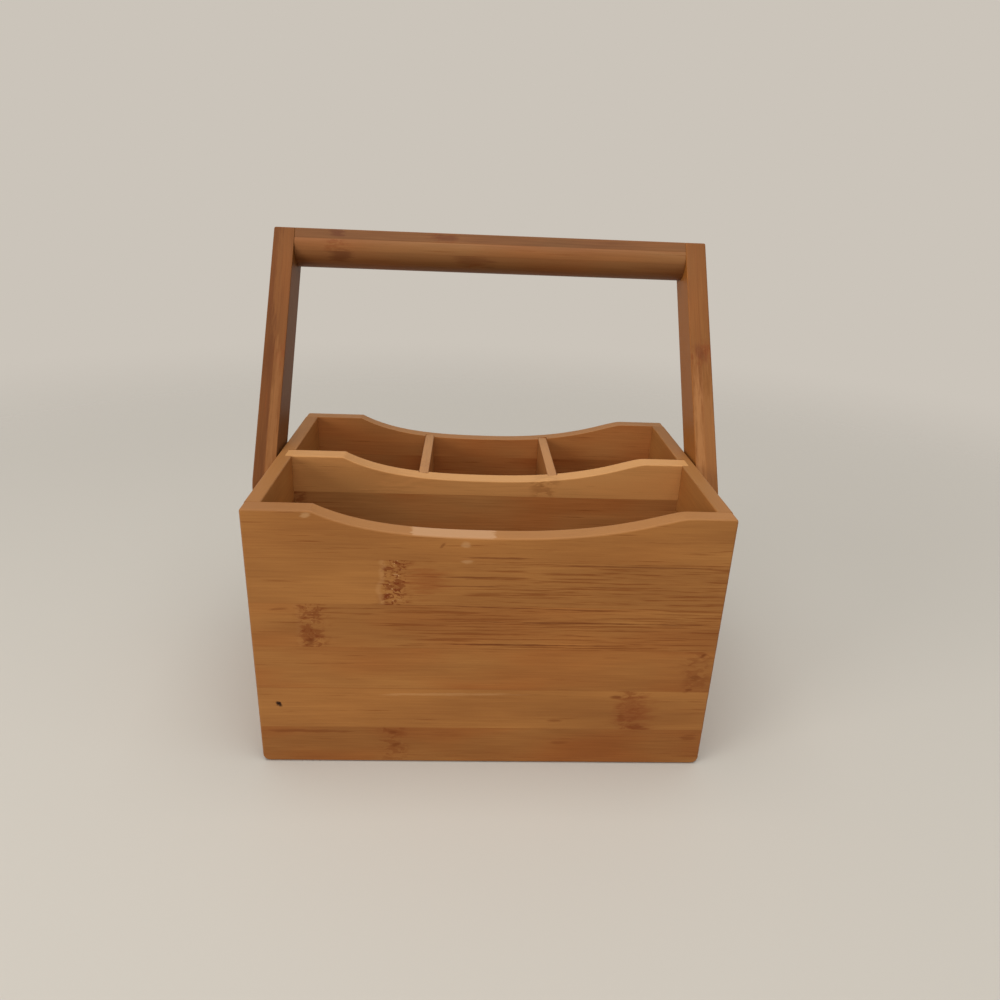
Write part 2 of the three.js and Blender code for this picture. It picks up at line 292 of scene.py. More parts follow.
def cut_out(piece, cutters):
    """Cuts the joints out of a piece, shades faces flat and arrises round, and leaves a plain mesh."""
    tools = bpy.data.collections.new("cutters")
    bpy.context.scene.collection.children.link(tools)
    for cutter in cutters:
        tools.objects.link(cutter)
    if cutters:
        joint = piece.modifiers.new("joint", "BOOLEAN")
        joint.operand_type = "COLLECTION"
        joint.collection = tools
        joint.operation = "DIFFERENCE"
        joint.solver = "EXACT"
    plain(piece)
    for cutter in cutters:
        bpy.data.objects.remove(cutter)
    bpy.data.collections.remove(tools)
    piece.data.shade_smooth()
    piece.data.set_sharp_from_angle(angle=math.radians(30))
    piece.modifiers.new("flat_faces", "WEIGHTED_NORMAL").keep_sharp = True
    plain(piece)
    return piece


def plain(piece):
    """Turns the modifiers' result into the piece's own mesh."""
    bpy.context.view_layer.update()
    evaluated = piece.evaluated_get(bpy.context.evaluated_depsgraph_get())
    rough = piece.data
    piece.data = bpy.data.meshes.new_from_object(evaluated)
    piece.data.name = piece.name
    piece.modifiers.clear()
    bpy.data.meshes.remove(rough)


RIM_FROM = 143  # the top edges, which hands wear, lie above this
HALFWAY_ROUND = 3.4  # brings a face that an arris has tilted by 45 degrees to about 1


def mark_grain(piece, axes, rim_above=math.inf):
    """Stores where each point lies along, across and through the grain in mm, and which faces are end grain,
    which are rounded arrises, and which belong to a worn top edge."""
    mesh = piece.data
    grain = mesh.attributes.new("grain", "FLOAT_VECTOR", "POINT")
    for vertex, value in zip(mesh.vertices, grain.data):
        value.vector = [vertex.co[axis] / MM for axis in axes]
    end_grain = mesh.attributes.new("end_grain", "FLOAT", "FACE")
    rim = mesh.attributes.new("rim", "FLOAT", "FACE")
    arris = mesh.attributes.new("arris", "FLOAT", "FACE")
    for face in mesh.polygons:
        arris.data[face.index].value = min(1, HALFWAY_ROUND * (1 - max(map(abs, face.normal))))
        end_grain.data[face.index].value = face.normal[axes[0]] ** 2
        if face.center.z > rim_above * MM:
            rim.data[face.index].value = max(0, face.normal.z) ** 2


def finish(piece, material, slot, body, *nodes):
    """Gives a piece its material, hides the CAD nodes it stands for, and hangs it on what it moves with."""
    piece.data.materials.clear()
    piece.data.materials.append(material)
    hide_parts(*nodes)
    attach(piece, body)


LOWEST_SEAM = 24.4
REACH = 300  # a knuckle's place is kept as a share of this length
WAVE = 8.0  # how far a knuckle's band wanders
SLOW_SHARE = 0.8
HAIR_SHARE = 0.44
SEAM_HALF = 0.45
LINE_TONE = "#7A3E11"
MOTTLE_TONE = "#702C08"
SMUDGE_TONE = "#793A10"
FLECK_TONE = "#D2A26C"
END_TONE = "#70421F"
WORN_TONE = "#BA906A"
RED_TINT = "#FFE9DA"


def carbonised_bamboo(name, strips, seed, pale, deep, rim_tone, pitch=STRIP,
                      first_edge=LOWEST_SEAM - STRIP, marks=(), worn=None):
    """Carbonised bamboo strips, glued edge to edge, sanded and dipped in satin lacquer: an even honey brown
    that shifts a little from strip to strip, thin dark fibre lines along the grain, a mottled band where each
    strip crosses a knuckle of the cane, dots on end grain, and a soft sheen.
    A strip is (knuckle place, knuckle strength, tone, fibres left of it, fibres right of it, redness)."""
    material, tree = material_tree(f"carbonised_bamboo_{name}")
    grain = add(tree, "ShaderNodeAttribute", out="Vector", attribute_name="grain")
    end_grain, rim, arris = [add(tree, "ShaderNodeAttribute", out="Fac", attribute_name=key)
                             for key in ("end_grain", "rim", "arris")]
    along, across = add(tree, "ShaderNodeSeparateXYZ", {0: grain}).node.outputs[:2]

    # Which strip a point lies in, and what that strip is like.
    row = add(tree, MATH, {0: across, 1: 1 / pitch, 2: -first_edge / pitch}, operation="MULTIPLY_ADD")
    strip = add(tree, MATH, {0: row}, operation="FLOOR")
    in_strip = add(tree, MATH, {0: row}, operation="FRACT")
    count = len(strips)
    pick = add(tree, MATH, {0: strip, 1: 1 / count, 2: 0.5 / count}, operation="MULTIPLY_ADD")
    facts = []
    for values in (
        [(0.5 + s[0] / REACH, s[1], s[2]) for s in strips],
        [(s[3], s[4], s[5]) for s in strips],
    ):
        ramp = add(tree, "ShaderNodeValToRGB", {0: pick})
        stops = ramp.node.color_ramp
        stops.interpolation = "CONSTANT"
        for i, value in enumerate(values):
            stop = stops.elements[0] if i == 0 else stops.elements.new(i / count)
            stop.position = i / count
            stop.color = (*value, 1)
        stops.elements.remove(stops.elements[-1])
        facts.append(add(tree, "ShaderNodeSeparateColor", {0: ramp}).node.outputs)
    (knuckle, strength, tone), (fibres_left, fibres_right, redness) = facts
    own = add(tree, MATH, {0: strip, 1: 5.37, 2: seed}, operation="MULTIPLY_ADD")  # its own noise

    # The patterns, each drawn out along the grain. The three numbers are how often it changes per mm. Real
    # fibre bundles are 0.3 to 0.5 mm thick; they are drawn up to 0.6 mm here, so that they show.
    patterns = {}
    for pattern, stretch, settings in (
        ("bundles", (0.026, 1.0, 1.0), {"Detail": 3.0, "Roughness": 0.62}),
        ("hairs", (0.035, 1.2, 1.2), {"Detail": 2.0}),
        ("waves", (0.02, 0.17, 0.1), {"Detail": 2.0}),
        ("mottle", (0.36, 0.56, 0.56), {"Detail": 2.0, "Distortion": 1.0}),
        ("specks", (0.8, 1.4, 1.4), {"Detail": 1.0}),
        ("blobs", (0.13, 0.3, 0.3), {"Detail": 3.0, "Distortion": 0.9}),
        ("slow", (0.011, 0.06, 0.06), {"Detail": 2.0}),
        ("ragged", (0.09, 0.8, 0.8), {"Detail": 3.0}),
    ):
        drawn = add(tree, "ShaderNodeVectorMath", {0: grain, 1: stretch}, operation="MULTIPLY")
        patterns[pattern] = add(tree, NOISE, {"Vector": drawn, "W": own, "Scale": 1.0, **settings},
                                noise_dimensions="4D")
    slow, hairs = patterns["slow"], patterns["hairs"]

    # The knuckle: a wavy band right across the strip. A strong one has dark squiggles, pale flecks and a pale
    # left flank, a weak one only soft brown blobs.
    from_left = add(tree, MATH, {0: knuckle, 1: -REACH, 2: (REACH - WAVE) / 2}, operation="MULTIPLY_ADD")
    distance = add(tree, MATH, {0: along, 1: from_left}, operation="ADD")
    distance = add(tree, MATH, {0: patterns["waves"], 1: WAVE, 2: distance}, operation="MULTIPLY_ADD")
    away = add(tree, MATH, {0: distance}, operation="ABSOLUTE")
    clear = add(tree, MATH, {0: strength, 1: 3.0}, operation="POWER")
    clearest = add(tree, MATH, {0: strength, 1: 9.0}, operation="POWER")
    parts = {}
    for part, edge, core, pattern, low, high, weight in (
        ("squiggles", 8.0, 3.6, "mottle", 0.52, 0.6, clear),
        ("flecks", 5.0, 1.5, "specks", 0.63, 0.71, clearest),
        ("blobs", 11.0, 3.5, "blobs", 0.46, 0.58, strength),
    ):
        band = add(tree, RANGE, {0: away, 1: edge, 2: core}, interpolation_type="SMOOTHSTEP")
        band = add(tree, MATH, {0: band, 1: weight}, operation="MULTIPLY")
        shape = add(tree, RANGE, {0: patterns[pattern], 1: low, 2: high}, interpolation_type="SMOOTHSTEP")
        parts[part] = add(tree, MATH, {0: shape, 1: band}, operation="MULTIPLY")
    flank = add(tree, MATH, {0: distance, 1: 7.0}, operation="ADD")
    flank = add(tree, MATH, {0: flank}, operation="ABSOLUTE")
    flank = add(tree, RANGE, {0: flank, 1: 2.4, 2: 0.2, 4: 0.18}, interpolation_type="SMOOTHSTEP")
    flank = add(tree, MATH, {0: flank, 1: clearest}, operation="MULTIPLY")

    # Tone: the strip's own, slow changes along it, fine hairs, and redder stretches. A noise is 0.5 on
    # average, so half of what it adds comes off.
    level = add(tree, MATH, {0: tone, 1: (SLOW_SHARE + HAIR_SHARE) / 2}, operation="SUBTRACT")
    level = add(tree, MATH, {0: slow, 1: SLOW_SHARE, 2: level}, operation="MULTIPLY_ADD")
    level = add(tree, MATH, {0: hairs, 1: HAIR_SHARE, 2: level}, operation="MULTIPLY_ADD")
    colour = add(tree, MIX, {0: level, 6: srgb(deep), 7: srgb(pale)}, 2, data_type="RGBA")
    warm_at = add(tree, "ShaderNodeVectorMath", {0: grain, 1: (0.018, 0.05, 0.05)}, operation="MULTIPLY")
    warm = add(tree, NOISE, {"Vector": warm_at, "W": strip, "Scale": 1.0, "Detail": 1.0},
               noise_dimensions="4D")
    warm = add(tree, RANGE, {0: warm, 1: 0.35, 2: 0.65})
    warm = add(tree, MATH, {0: warm, 1: redness}, operation="MULTIPLY")
    redder = add(tree, MIX, {0: 1.0, 6: colour, 7: srgb(RED_TINT)}, 2,
                 data_type="RGBA", blend_type="MULTIPLY")
    colour = add(tree, MIX, {0: warm, 6: colour, 7: redder}, 2, data_type="RGBA")

    # Fibre lines: as many on each side of the knuckle as the strip's facts say, and more close to it.
    side = add(tree, RANGE, {0: distance, 1: -6.0, 2: 50.0})
    how_many = add(tree, MIX, {0: side, 2: fibres_left, 3: fibres_right})
    near = add(tree, RANGE, {0: away, 1: 30.0, 2: 5.0, 4: 0.45}, interpolation_type="SMOOTHSTEP")
    how_many = add(tree, MATH, {0: near, 1: clear, 2: how_many}, operation="MULTIPLY_ADD")
    lines = add(tree, MATH, {0: how_many, 1: 0.15, 2: patterns["bundles"]}, operation="MULTIPLY_ADD")
    lines = add(tree, RANGE, {0: lines, 1: 0.62, 2: 0.73}, interpolation_type="SMOOTHSTEP")

    # Glue lines, which show on some stretches only.
    seam = add(tree, MATH, {0: in_strip, 1: 0.5}, operation="SUBTRACT")
    seam = add(tree, MATH, {0: seam}, operation="ABSOLUTE")
    seam = add(tree, RANGE, {0: seam, 1: 0.5 - SEAM_HALF / pitch, 2: 0.5}, interpolation_type="SMOOTHSTEP")
    seam_shows = add(tree, RANGE, {0: slow, 1: 0.44, 2: 0.58})
    seam = add(tree, MATH, {0: seam, 1: seam_shows}, operation="MULTIPLY")

    for amount, share, layer_tone in (
        (lines, 0.62, LINE_TONE),
        (parts["blobs"], 0.75, SMUDGE_TONE),
        (flank, 1.0, FLECK_TONE),
        (parts["squiggles"], 0.78, MOTTLE_TONE),
        (parts["flecks"], 0.8, FLECK_TONE),
        (seam, 0.34, LINE_TONE),
        (rim, 0.6, rim_tone),
        (arris, 0.55, rim_tone),
        (end_grain, 0.5, END_TONE),
    ):
        layer = add(tree, MATH, {0: amount, 1: share}, operation="MULTIPLY")
        colour = add(tree, MIX, {0: layer, 6: colour, 7: srgb(layer_tone)}, 2, data_type="RGBA")

    # Single marks: (along, across, half length, half height, tilt, share, colour), with ragged soft edges.
    # Some are painted shade or painted light rather than marks in the wood.
    # After them comes the worn patch on a top edge, from one place along the board to another.
    flat = add(tree, "ShaderNodeVectorMath", {0: grain, 1: (1, 1, 0)}, operation="MULTIPLY")
    for mark_along, mark_across, half_length, half_height, tilt, share, mark_colour in marks:
        spot = add(tree, "ShaderNodeMapping", {"Vector": flat, "Location": (mark_along, mark_across, 0),
                   "Rotation": (0, 0, math.radians(tilt)), "Scale": (half_length, half_height, 1)},
                   vector_type="TEXTURE")
        spot = add(tree, "ShaderNodeVectorMath", {0: spot}, "Value", operation="LENGTH")
        spot = add(tree, MATH, {0: patterns["ragged"], 1: 2.0, 2: spot}, operation="MULTIPLY_ADD")
        spot = add(tree, RANGE, {0: spot, 1: 2.1, 2: 1.3, 3: 0.0, 4: share}, interpolation_type="SMOOTHSTEP")
        colour = add(tree, MIX, {0: spot, 6: colour, 7: srgb(mark_colour)}, 2, data_type="RGBA")
    if worn:
        patch = add(tree, MATH, {0: along, 1: (worn[0] + worn[1]) / 2}, operation="SUBTRACT")
        patch = add(tree, MATH, {0: patch}, operation="ABSOLUTE")
        patch = add(tree, MATH, {0: patterns["ragged"], 1: 9.0, 2: patch}, operation="MULTIPLY_ADD")
        edge = (worn[1] - worn[0]) / 2 + 4.5
        patch = add(tree, RANGE, {0: patch, 1: edge + 0.6, 2: edge - 0.6, 3: 0.0, 4: 0.85})
        patch = add(tree, MATH, {0: patch, 1: rim}, operation="MULTIPLY")
        colour = add(tree, MIX, {0: patch, 6: colour, 7: srgb(WORN_TONE)}, 2, data_type="RGBA")

    # Sheen and relief: the lacquer is thinner over knuckles and end grain, and fibre lines sink a little.
    rough = add(tree, MATH, {0: slow, 1: 0.14, 2: 0.44}, operation="MULTIPLY_ADD")
    rough = add(tree, MATH, {0: parts["squiggles"], 1: 0.1, 2: rough}, operation="MULTIPLY_ADD")
    rough = add(tree, MATH, {0: end_grain, 1: 0.12, 2: rough}, operation="MULTIPLY_ADD")
    height = add(tree, MATH, {0: lines, 1: -0.5, 2: hairs}, operation="MULTIPLY_ADD")
    height = add(tree, MATH, {0: parts["squiggles"], 1: -0.6, 2: height}, operation="MULTIPLY_ADD")
    height = add(tree, MATH, {0: seam, 1: -0.5, 2: height}, operation="MULTIPLY_ADD")
    relief = add(tree, "ShaderNodeBump", {"Strength": 0.3, "Distance": 0.0002, "Height": height})
    shader = add(tree, "ShaderNodeBsdfPrincipled",
                 {"Base Color": colour, "Roughness": rough, "IOR": 1.45, "Specular IOR Level": 0.2,
                  "Normal": relief})
    add(tree, "ShaderNodeOutputMaterial", {0: shader})
    return material


front_strips = [
    (-52, 0.55, 0.33, 0.0, 0.1, 0.9),
    (82, 0.65, 0.47, 0.0, 0.1, 0.1),
    (118, 0.5, 0.43, 0.0, 0.2, 0.7),
    (-94, 0.82, 0.49, 0.1, 0.8, 0.5),
    (-50, 1.0, 0.5, 0.0, 0.9, 0.0),
    (150, 0.0, 0.52, 0.2, 0.5, 0.2),
]
pale_scuff = "#C79B6C"
dark_line = "#6C3612"
dark_smudge = "#71360E"
front_marks_and_shade = [
    (-94, 155.6, 2.8, 1.8, 20, 0.5, pale_scuff),
    (-13, 140.7, 3.2, 2.2, 0, 0.42, pale_scuff),
    (-12.3, 131, 4.0, 1.7, 0, 0.42, pale_scuff),
    (-22, 47.6, 44, 1.2, 1, 0.25, pale_scuff),
    (-25, 140, 2.4, 0.9, 50, 0.5, dark_line),
    (11, 80.8, 58, 0.6, 0, 0.85, dark_line),
    (60, 95, 76, 0.55, 0, 0.75, dark_line),
    (14, 103.8, 74, 0.5, -1, 0.7, dark_line),
    (-16, 121.8, 32, 0.55, 0, 0.65, dark_line),
    (-14, 116.6, 28, 0.5, 0, 0.6, dark_line),
    (70, 129.6, 62, 0.5, 0, 0.65, dark_line),
    (6, 133.4, 22, 0.6, 0, 0.6, dark_line),
    (-98, 21.4, 34, 1.5, 0, 0.5, dark_smudge),
    (-95.4, 81.6, 3.4, 2.6, 25, 0.8, dark_smudge),
    (-112, 101, 7, 1.1, 8, 0.4, dark_smudge),
    (74, 47, 4.5, 1.4, 0, 0.7, dark_smudge),
    (87, 26.5, 7, 2.4, -10, 0.65, dark_smudge),
    (78, 33, 2.6, 5, 12, 0.5, dark_smudge),
    (85, 37, 15, 15, 0, 0.55, "#87461E"),
    (-33, 119, 15, 11, 0, 0.4, "#8A4418"),
    # Painted shade: the left end of the top edge is darkened, as if less light reached it there.
    (-112, 158.4, 36, 2.2, 0, 0.6, "#8E5F36"),
    (119.8, 75.4, 2.6, 1.3, 25, 0.75, dark_smudge),
    (117, 61, 4, 1.8, 0, 0.5, dark_smudge),
    (114.6, 52.5, 3.0, 1.4, 25, 0.65, dark_smudge),
    (119, 18.5, 6, 3.2, 0, 0.45, dark_smudge),
    (44, 14.5, 7, 1.6, 0, 0.35, dark_smudge),
    (40, 30.5, 5, 1.2, 0, 0.45, dark_smudge),
    (-52, 21, 4, 1.6, -15, 0.7, dark_smudge),
    (-50.5, 12.5, 3.4, 1.2, 20, 0.6, dark_smudge),
    (-115.2, 39.9, 2.6, 1.3, -52, 1.0, "#2E1508"),
]
front_bamboo = carbonised_bamboo("front", front_strips, 3.1, pale="#BC8245", deep="#7E4B21",
                                 rim_tone="#A37548", marks=front_marks_and_shade, worn=(-41, 2))

FIT = 0.15  # gap round a piece in its housing
RABBET = 4
BOTTOM_T = 6
PAST = 1  # how far a cutter reaches past the wood
rabbet_low = (-END_IN - RABBET - FIT, -FACE_IN - RABBET - FIT, -PAST)
rabbet_high = (END_IN + RABBET + FIT, FACE_IN + RABBET + FIT, BOTTOM_T + FIT)
CORNER_DOWEL_X = 122.75
CORNER_DOWEL_Z = (32, 79, 126)
CORNER_HOLE_R = 2.6
HOLE_IN_FACE = 7.3
HOLE_IN_END = 15.3
brad_spots = [(x, y) for x in (-85, 0, 85) for y in (-79.5, 79.5)]
brad_spots += [(x, y) for y in (-42, 42) for x in (-120.5, 120.5)] + [(-70, 0), (70, 0)]


def brad_holes():
    """Tapered seats and holes for the brads under the bottom."""
    seat = [(0, -PAST), (1.6, -PAST), (1.6, 0), (0.95, 0.8), (0.95, 15), (0, 16.2)]
    return [turned("cutter", seat, (x, y, 0), 2, sides=12) for x, y in brad_spots]


def dowel_holes(side, face):
    """The three dowel holes of one corner, 7.3 mm into the face board and 15.3 mm into the end board."""
    start, end = face * (FACE_IN - HOLE_IN_END), face * (FACE_IN + HOLE_IN_FACE)
    return [drill((side * CORNER_DOWEL_X, start, z), end, 1, CORNER_HOLE_R) for z in CORNER_DOWEL_Z]


OUTER_ARRIS = 1.2
INNER_ARRIS = 0.35
SHOULDER_R = 1.5
front_outline = dipped_outline(HALF_W, 0, FOOT_R, dip_from=-92, dip_to=103, shoulder=SHOULDER_R)
front = eased_board("front_board", front_outline, (0, 2, 1), -HALF_D, -FACE_IN, OUTER_ARRIS, INNER_ARRIS)
# The nick near the lower left corner, where something hard has dented the board.
NICK_AT = (-0.1152, -HALF_D * MM, 0.0399)
NICK_TILT = math.radians(38)
nick = turned("cutter", [(0, -2.1), (0.5, -1.5), (0.75, -0.2), (0.6, 1.2), (0, 2)], (0, 0, 0), 2, sides=10)
nick.data.transform(Matrix.Translation(NICK_AT) @ Matrix.Rotation(NICK_TILT, 4, "Y"))
cut_out(front, [router(rabbet_low, rabbet_high), *brad_holes(), *dowel_holes(-1, -1), *dowel_holes(1, -1),
                nick])
mark_grain(front, (0, 2, 1), RIM_FROM)
finish(front, front_bamboo, "panel_bamboo", "box", "front_panel")


# The back board: 10 mm bamboo with a dip, glued up, joined to the end boards and finished like the front
# one. Two housings are routed in its inner face for the cross dividers.
def stock_strips(seed, count, reach):
    """Strips as they come from the stack: where their knuckles fall, and how dark and fibrous they are."""
    draw = random.Random(seed)
    strips = []
    for _ in range(count):
        place, strength = draw.uniform(-reach, reach), draw.uniform(0.5, 0.95)
        tone, left, right = draw.uniform(0.4, 0.56), draw.uniform(0.1, 0.6), draw.uniform(0.15, 0.7)
        strips.append((place, strength, tone, left, right, draw.uniform(0.2, 0.8)))
    return strips


CROSS_X = 40.25
CROSS_T = 6
CROSS_Y0 = 2.75
CROSS_Y1 = 80.5
CROSS_FIT = 0.04  # the thin dividers are a closer fit than the boards


def cross_housings():
    """The two housings that run down from the top edge for the cross dividers."""
    half = CROSS_T / 2 + CROSS_FIT
    return [router((x - half, CROSS_Y0 - FIT, BOTTOM_T - PAST), (x + half, CROSS_Y1 + FIT, HEIGHT + PAST))
            for x in (-CROSS_X, CROSS_X)]


# Its two top strips show inside the rear compartments: no knuckle there, and the top one a little lighter.
back_strips = [*stock_strips(21, 4, 120), (150, 0.0, 0.46, 0.1, 0.15, 0.9), (150, 0.0, 0.6, 0.1, 0.1, 0.7)]
back_bamboo = carbonised_bamboo("back", back_strips, 8.4, pale="#C4864C", deep="#864C24",
                                rim_tone="#9C7348")
back_outline = dipped_outline(HALF_W, 0, FOOT_R, dip_from=-88, dip_to=97, shoulder=SHOULDER_R)
back = eased_board("back_board", back_outline, (0, 2, 1), FACE_IN, HALF_D, INNER_ARRIS, OUTER_ARRIS)
cut_out(back, [router(rabbet_low, rabbet_high), *brad_holes(), *dowel_holes(-1, 1), *dowel_holes(1, 1),
               *cross_housings()])
mark_grain(back, (0, 2, 1), RIM_FROM)
finish(back, back_bamboo, "panel_bamboo", "box", "back_panel")


# The two end boards: 8.5 mm bamboo, glued and dowelled between the front and back boards. Each is routed
# for the bottom and for the middle divider, and drilled for the handle's screw.
PIVOT_Z = 137.5
HOUSING = 4
TIGHT = 0.06  # gap round the middle divider, which is driven in with a mallet
MIDDLE_T = 11.5
SCREW_TIP = 96.2
SCREW_HOLE_TO = 130
SCREW_HOLE_R = 2.7


def screw_hole(side):
    """The hole for one of the handle's screws, through the end board and into the middle divider's end."""
    return drill((side * SCREW_TIP, 0, PIVOT_Z), side * SCREW_HOLE_TO, 0, SCREW_HOLE_R)


for side, end_name, node, seed in ((-1, "left_end_board", "left_end_panel", 5),
                                   (1, "right_end_board", "right_end_panel", 6)):
    inner, outer = side * END_IN, side * HALF_W
    corners = [(inner, 0, 0.3), (outer, 0, FOOT_R), (outer, HEIGHT, 0.9), (inner, HEIGHT, 0.7)]
    outline = rounded(corners if side > 0 else corners[::-1])
    end_board = eased_board(end_name, outline, (0, 2, 1), -FACE_IN, FACE_IN, 0.12, 0.12)
    reach, half = END_IN + HOUSING + TIGHT, MIDDLE_T / 2 + TIGHT
    housing = router((-reach, -half, BOTTOM_T), (reach, half, HEIGHT + PAST))
    cut_out(end_board, [router(rabbet_low, rabbet_high), *brad_holes(), *dowel_holes(side, -1),
                        *dowel_holes(side, 1), housing, screw_hole(side)])
    mark_grain(end_board, (1, 2, 0), RIM_FROM)
    # No knuckle shows in the top strip.
    end_strips = [*stock_strips(seed, 5, 85), (150, 0.0, 0.5, 0.05, 0.1, 0.5)]
    end_bamboo = carbonised_bamboo(end_name, end_strips, seed * 2.3, pale="#BC8144", deep="#7E4A20",
                                   rim_tone="#946A3E")
    finish(end_board, end_bamboo, "panel_bamboo", "box", node)


# The middle divider: 11.5 mm bamboo from end board to end board, with the same dip as the back. It is thick
# because the handle's screws end in it. Its top strip is much lighter than the others, partly its own tone
# and partly painted light, as if lit from low in front while the front board shades the strips below.
middle_strips = [
    (-60, 0.6, 0.4, 0.1, 0.3, 0.5),
    (50, 0.6, 0.36, 0.2, 0.3, 0.6),
    (-20, 0.7, 0.4, 0.1, 0.2, 0.6),
    (90, 0.5, 0.44, 0.1, 0.1, 0.8),
    (-116, 0.7, 0.5, 0.0, 0.0, 0.9),
    # The top strip's high tone is partly its own and partly painted light.
    (34.5, 0.45, 0.96, 0.0, 0.0, 0.2),
]
# The first mark is painted shade: the left end of the upper strips is darkened, as if the left end board
# shaded it.
middle_marks_and_shade = [(-95, 145, 60, 24, 0, 0.28, "#99683A"), (36.8, 149, 3, 1.5, 20, 0.4, "#85501F"),
                (33, 142.5, 2.4, 1.4, -20, 0.4, "#85501F")]
TOP_SEAM = 135
middle_bamboo = carbonised_bamboo("middle", middle_strips, 5.9, pale="#CC9256", deep="#80491F",
                                  rim_tone="#BC905F", first_edge=TOP_SEAM - 5 * STRIP, marks=middle_marks_and_shade)
# It is made a little too long, and sawn to length after its arrises are eased, so that its ends stay crisp.
OFFCUT = 3
SAW = 10  # the blocks that take off both ends reach this far past the wood
MIDDLE_HALF_W = END_IN + HOUSING
MIDDLE_ARRIS = 0.8
middle_outline = dipped_outline(MIDDLE_HALF_W + OFFCUT, BOTTOM_T, 0.9, dip_from=-88, dip_to=97, shoulder=0.9)
middle = eased_board("middle_divider_board", middle_outline, (0, 2, 1), -MIDDLE_T / 2, MIDDLE_T / 2,
                     MIDDLE_ARRIS, MIDDLE_ARRIS)
ends = [router((side * MIDDLE_HALF_W, -SAW, 0), (side * (HALF_W + SAW), SAW, HEIGHT + SAW))
        for side in (-1, 1)]
cut_out(middle, [*cross_housings(), *brad_holes(), screw_hole(-1), screw_hole(1), *ends])
mark_grain(middle, (0, 2, 1), RIM_FROM)
finish(middle, middle_bamboo, "inner_bamboo", "box", "middle_divider")


# The two cross dividers: 6 mm bamboo, let into housings in the middle divider and the back board, with their
# top edges level with the dips beside them.
CROSS_TOP = 146.2
for side, cross_name, node in ((-1, "left_cross_board", "left_cross_divider"),
                               (1, "right_cross_board", "right_cross_divider")):
    left, right = side * CROSS_X - CROSS_T / 2, side * CROSS_X + CROSS_T / 2
    low_corners = [(left, BOTTOM_T, 0.3), (right, BOTTOM_T, 0.3)]
    outline = rounded([*low_corners, (right, CROSS_TOP, 0.8), (left, CROSS_TOP, 0.8)])
    cross = eased_board(cross_name, outline, (0, 2, 1), CROSS_Y0, CROSS_Y1, 0.1, 0.1)
    cut_out(cross, [])
    mark_grain(cross, (1, 2, 0), RIM_FROM)
    cross_strips = stock_strips(40 + side, 6, 80)
    cross_bamboo = carbonised_bamboo(cross_name, cross_strips, 30 + side, pale="#BE8348", deep="#7E4822",
                                     rim_tone="#B2865A", first_edge=12.0 - STRIP)
    finish(cross, cross_bamboo, "inner_bamboo", "box", node)


# The bottom: a 6 mm board, glued up from seven bamboo strips. It lies in a rabbet 4 mm deep in all four walls
# and is nailed to them and to the middle divider from below.
bottom_outline = rounded([(x * (END_IN + RABBET), y * (FACE_IN + RABBET), 0.4)
                          for x, y in ((-1, -1), (1, -1), (1, 1), (-1, 1))])
bottom = eased_board("bottom_base_board", bottom_outline, (0, 1, 2), 0, BOTTOM_T, 0.3, 0.2)
cut_out(bottom, brad_holes())
mark_grain(bottom, (0, 1, 2))
bottom_strips = stock_strips(77, 7, 120)
bottom_bamboo = carbonised_bamboo("bottom", bottom_strips, 12.2, pale="#B47B42", deep="#764521",
                                  rim_tone="#B47B42", first_edge=-3.5 * STRIP)
finish(bottom, bottom_bamboo, "inner_bamboo", "box", "bottom_board")


# The corner dowels: twelve fluted birch dowels, 5 mm thick and 22 mm long, glued into the end boards and then
# into the face boards. The flutes let the glue out, the chamfered ends find the hole.
def repeated(name, spots, tree, sizes, material):
    """Puts a Geometry Nodes shape at each spot in mm, and makes the result one plain mesh."""
    mesh = bpy.data.meshes.new(name)
    mesh.from_pydata([Vector(spot) * MM for spot in spots], [], [])
    piece = in_scene(name, mesh)
    repeat = piece.modifiers.new("repeat", "NODES")
    repeat.node_group = tree
    sockets = {item.name: item.identifier for item in tree.interface.items_tree if item.in_out == "INPUT"}
    for size_name, value in {**sizes, "Material": material}.items():
        repeat[sockets[size_name]] = value
    plain(piece)
    return piece


def repeat_tree(name, inputs):
    """An empty Geometry Nodes tree with named inputs, and the sockets that give their values."""
    tree = bpy.data.node_groups.new(name, "GeometryNodeTree")
    tree.interface.new_socket("Geometry", in_out="OUTPUT", socket_type="NodeSocketGeometry")
    tree.interface.new_socket("Geometry", in_out="INPUT", socket_type="NodeSocketGeometry")
    for input_name, kind in inputs.items():
        tree.interface.new_socket(input_name, in_out="INPUT", socket_type="NodeSocket" + kind)
    given = add(tree, "NodeGroupInput").node
    return tree, given.outputs


def put_at_points(tree, given, shape, direction):
    """Ends a tree: the shape at every point, each turned its own way about its length, in one material."""
    placed = add(tree, "GeometryNodeInstanceOnPoints", {"Points": given["Geometry"], "Instance": shape,
                                                        "Rotation": direction})
    turn = add(tree, "FunctionNodeRandomValue", {"Min": 0.0, "Max": 6.28, "Seed": given["Seed"]}, "Value")
    twist = add(tree, "ShaderNodeCombineXYZ", {2: turn})
    placed = add(tree, "GeometryNodeRotateInstances", {"Instances": placed, "Rotation": twist,
                                                       "Local Space": True})
    solid = add(tree, "GeometryNodeRealizeInstances", {0: placed})
    solid = add(tree, "GeometryNodeSetMaterial", {"Geometry": solid, "Material": given["Material"]})
    add(tree, "NodeGroupOutput", {0: solid})


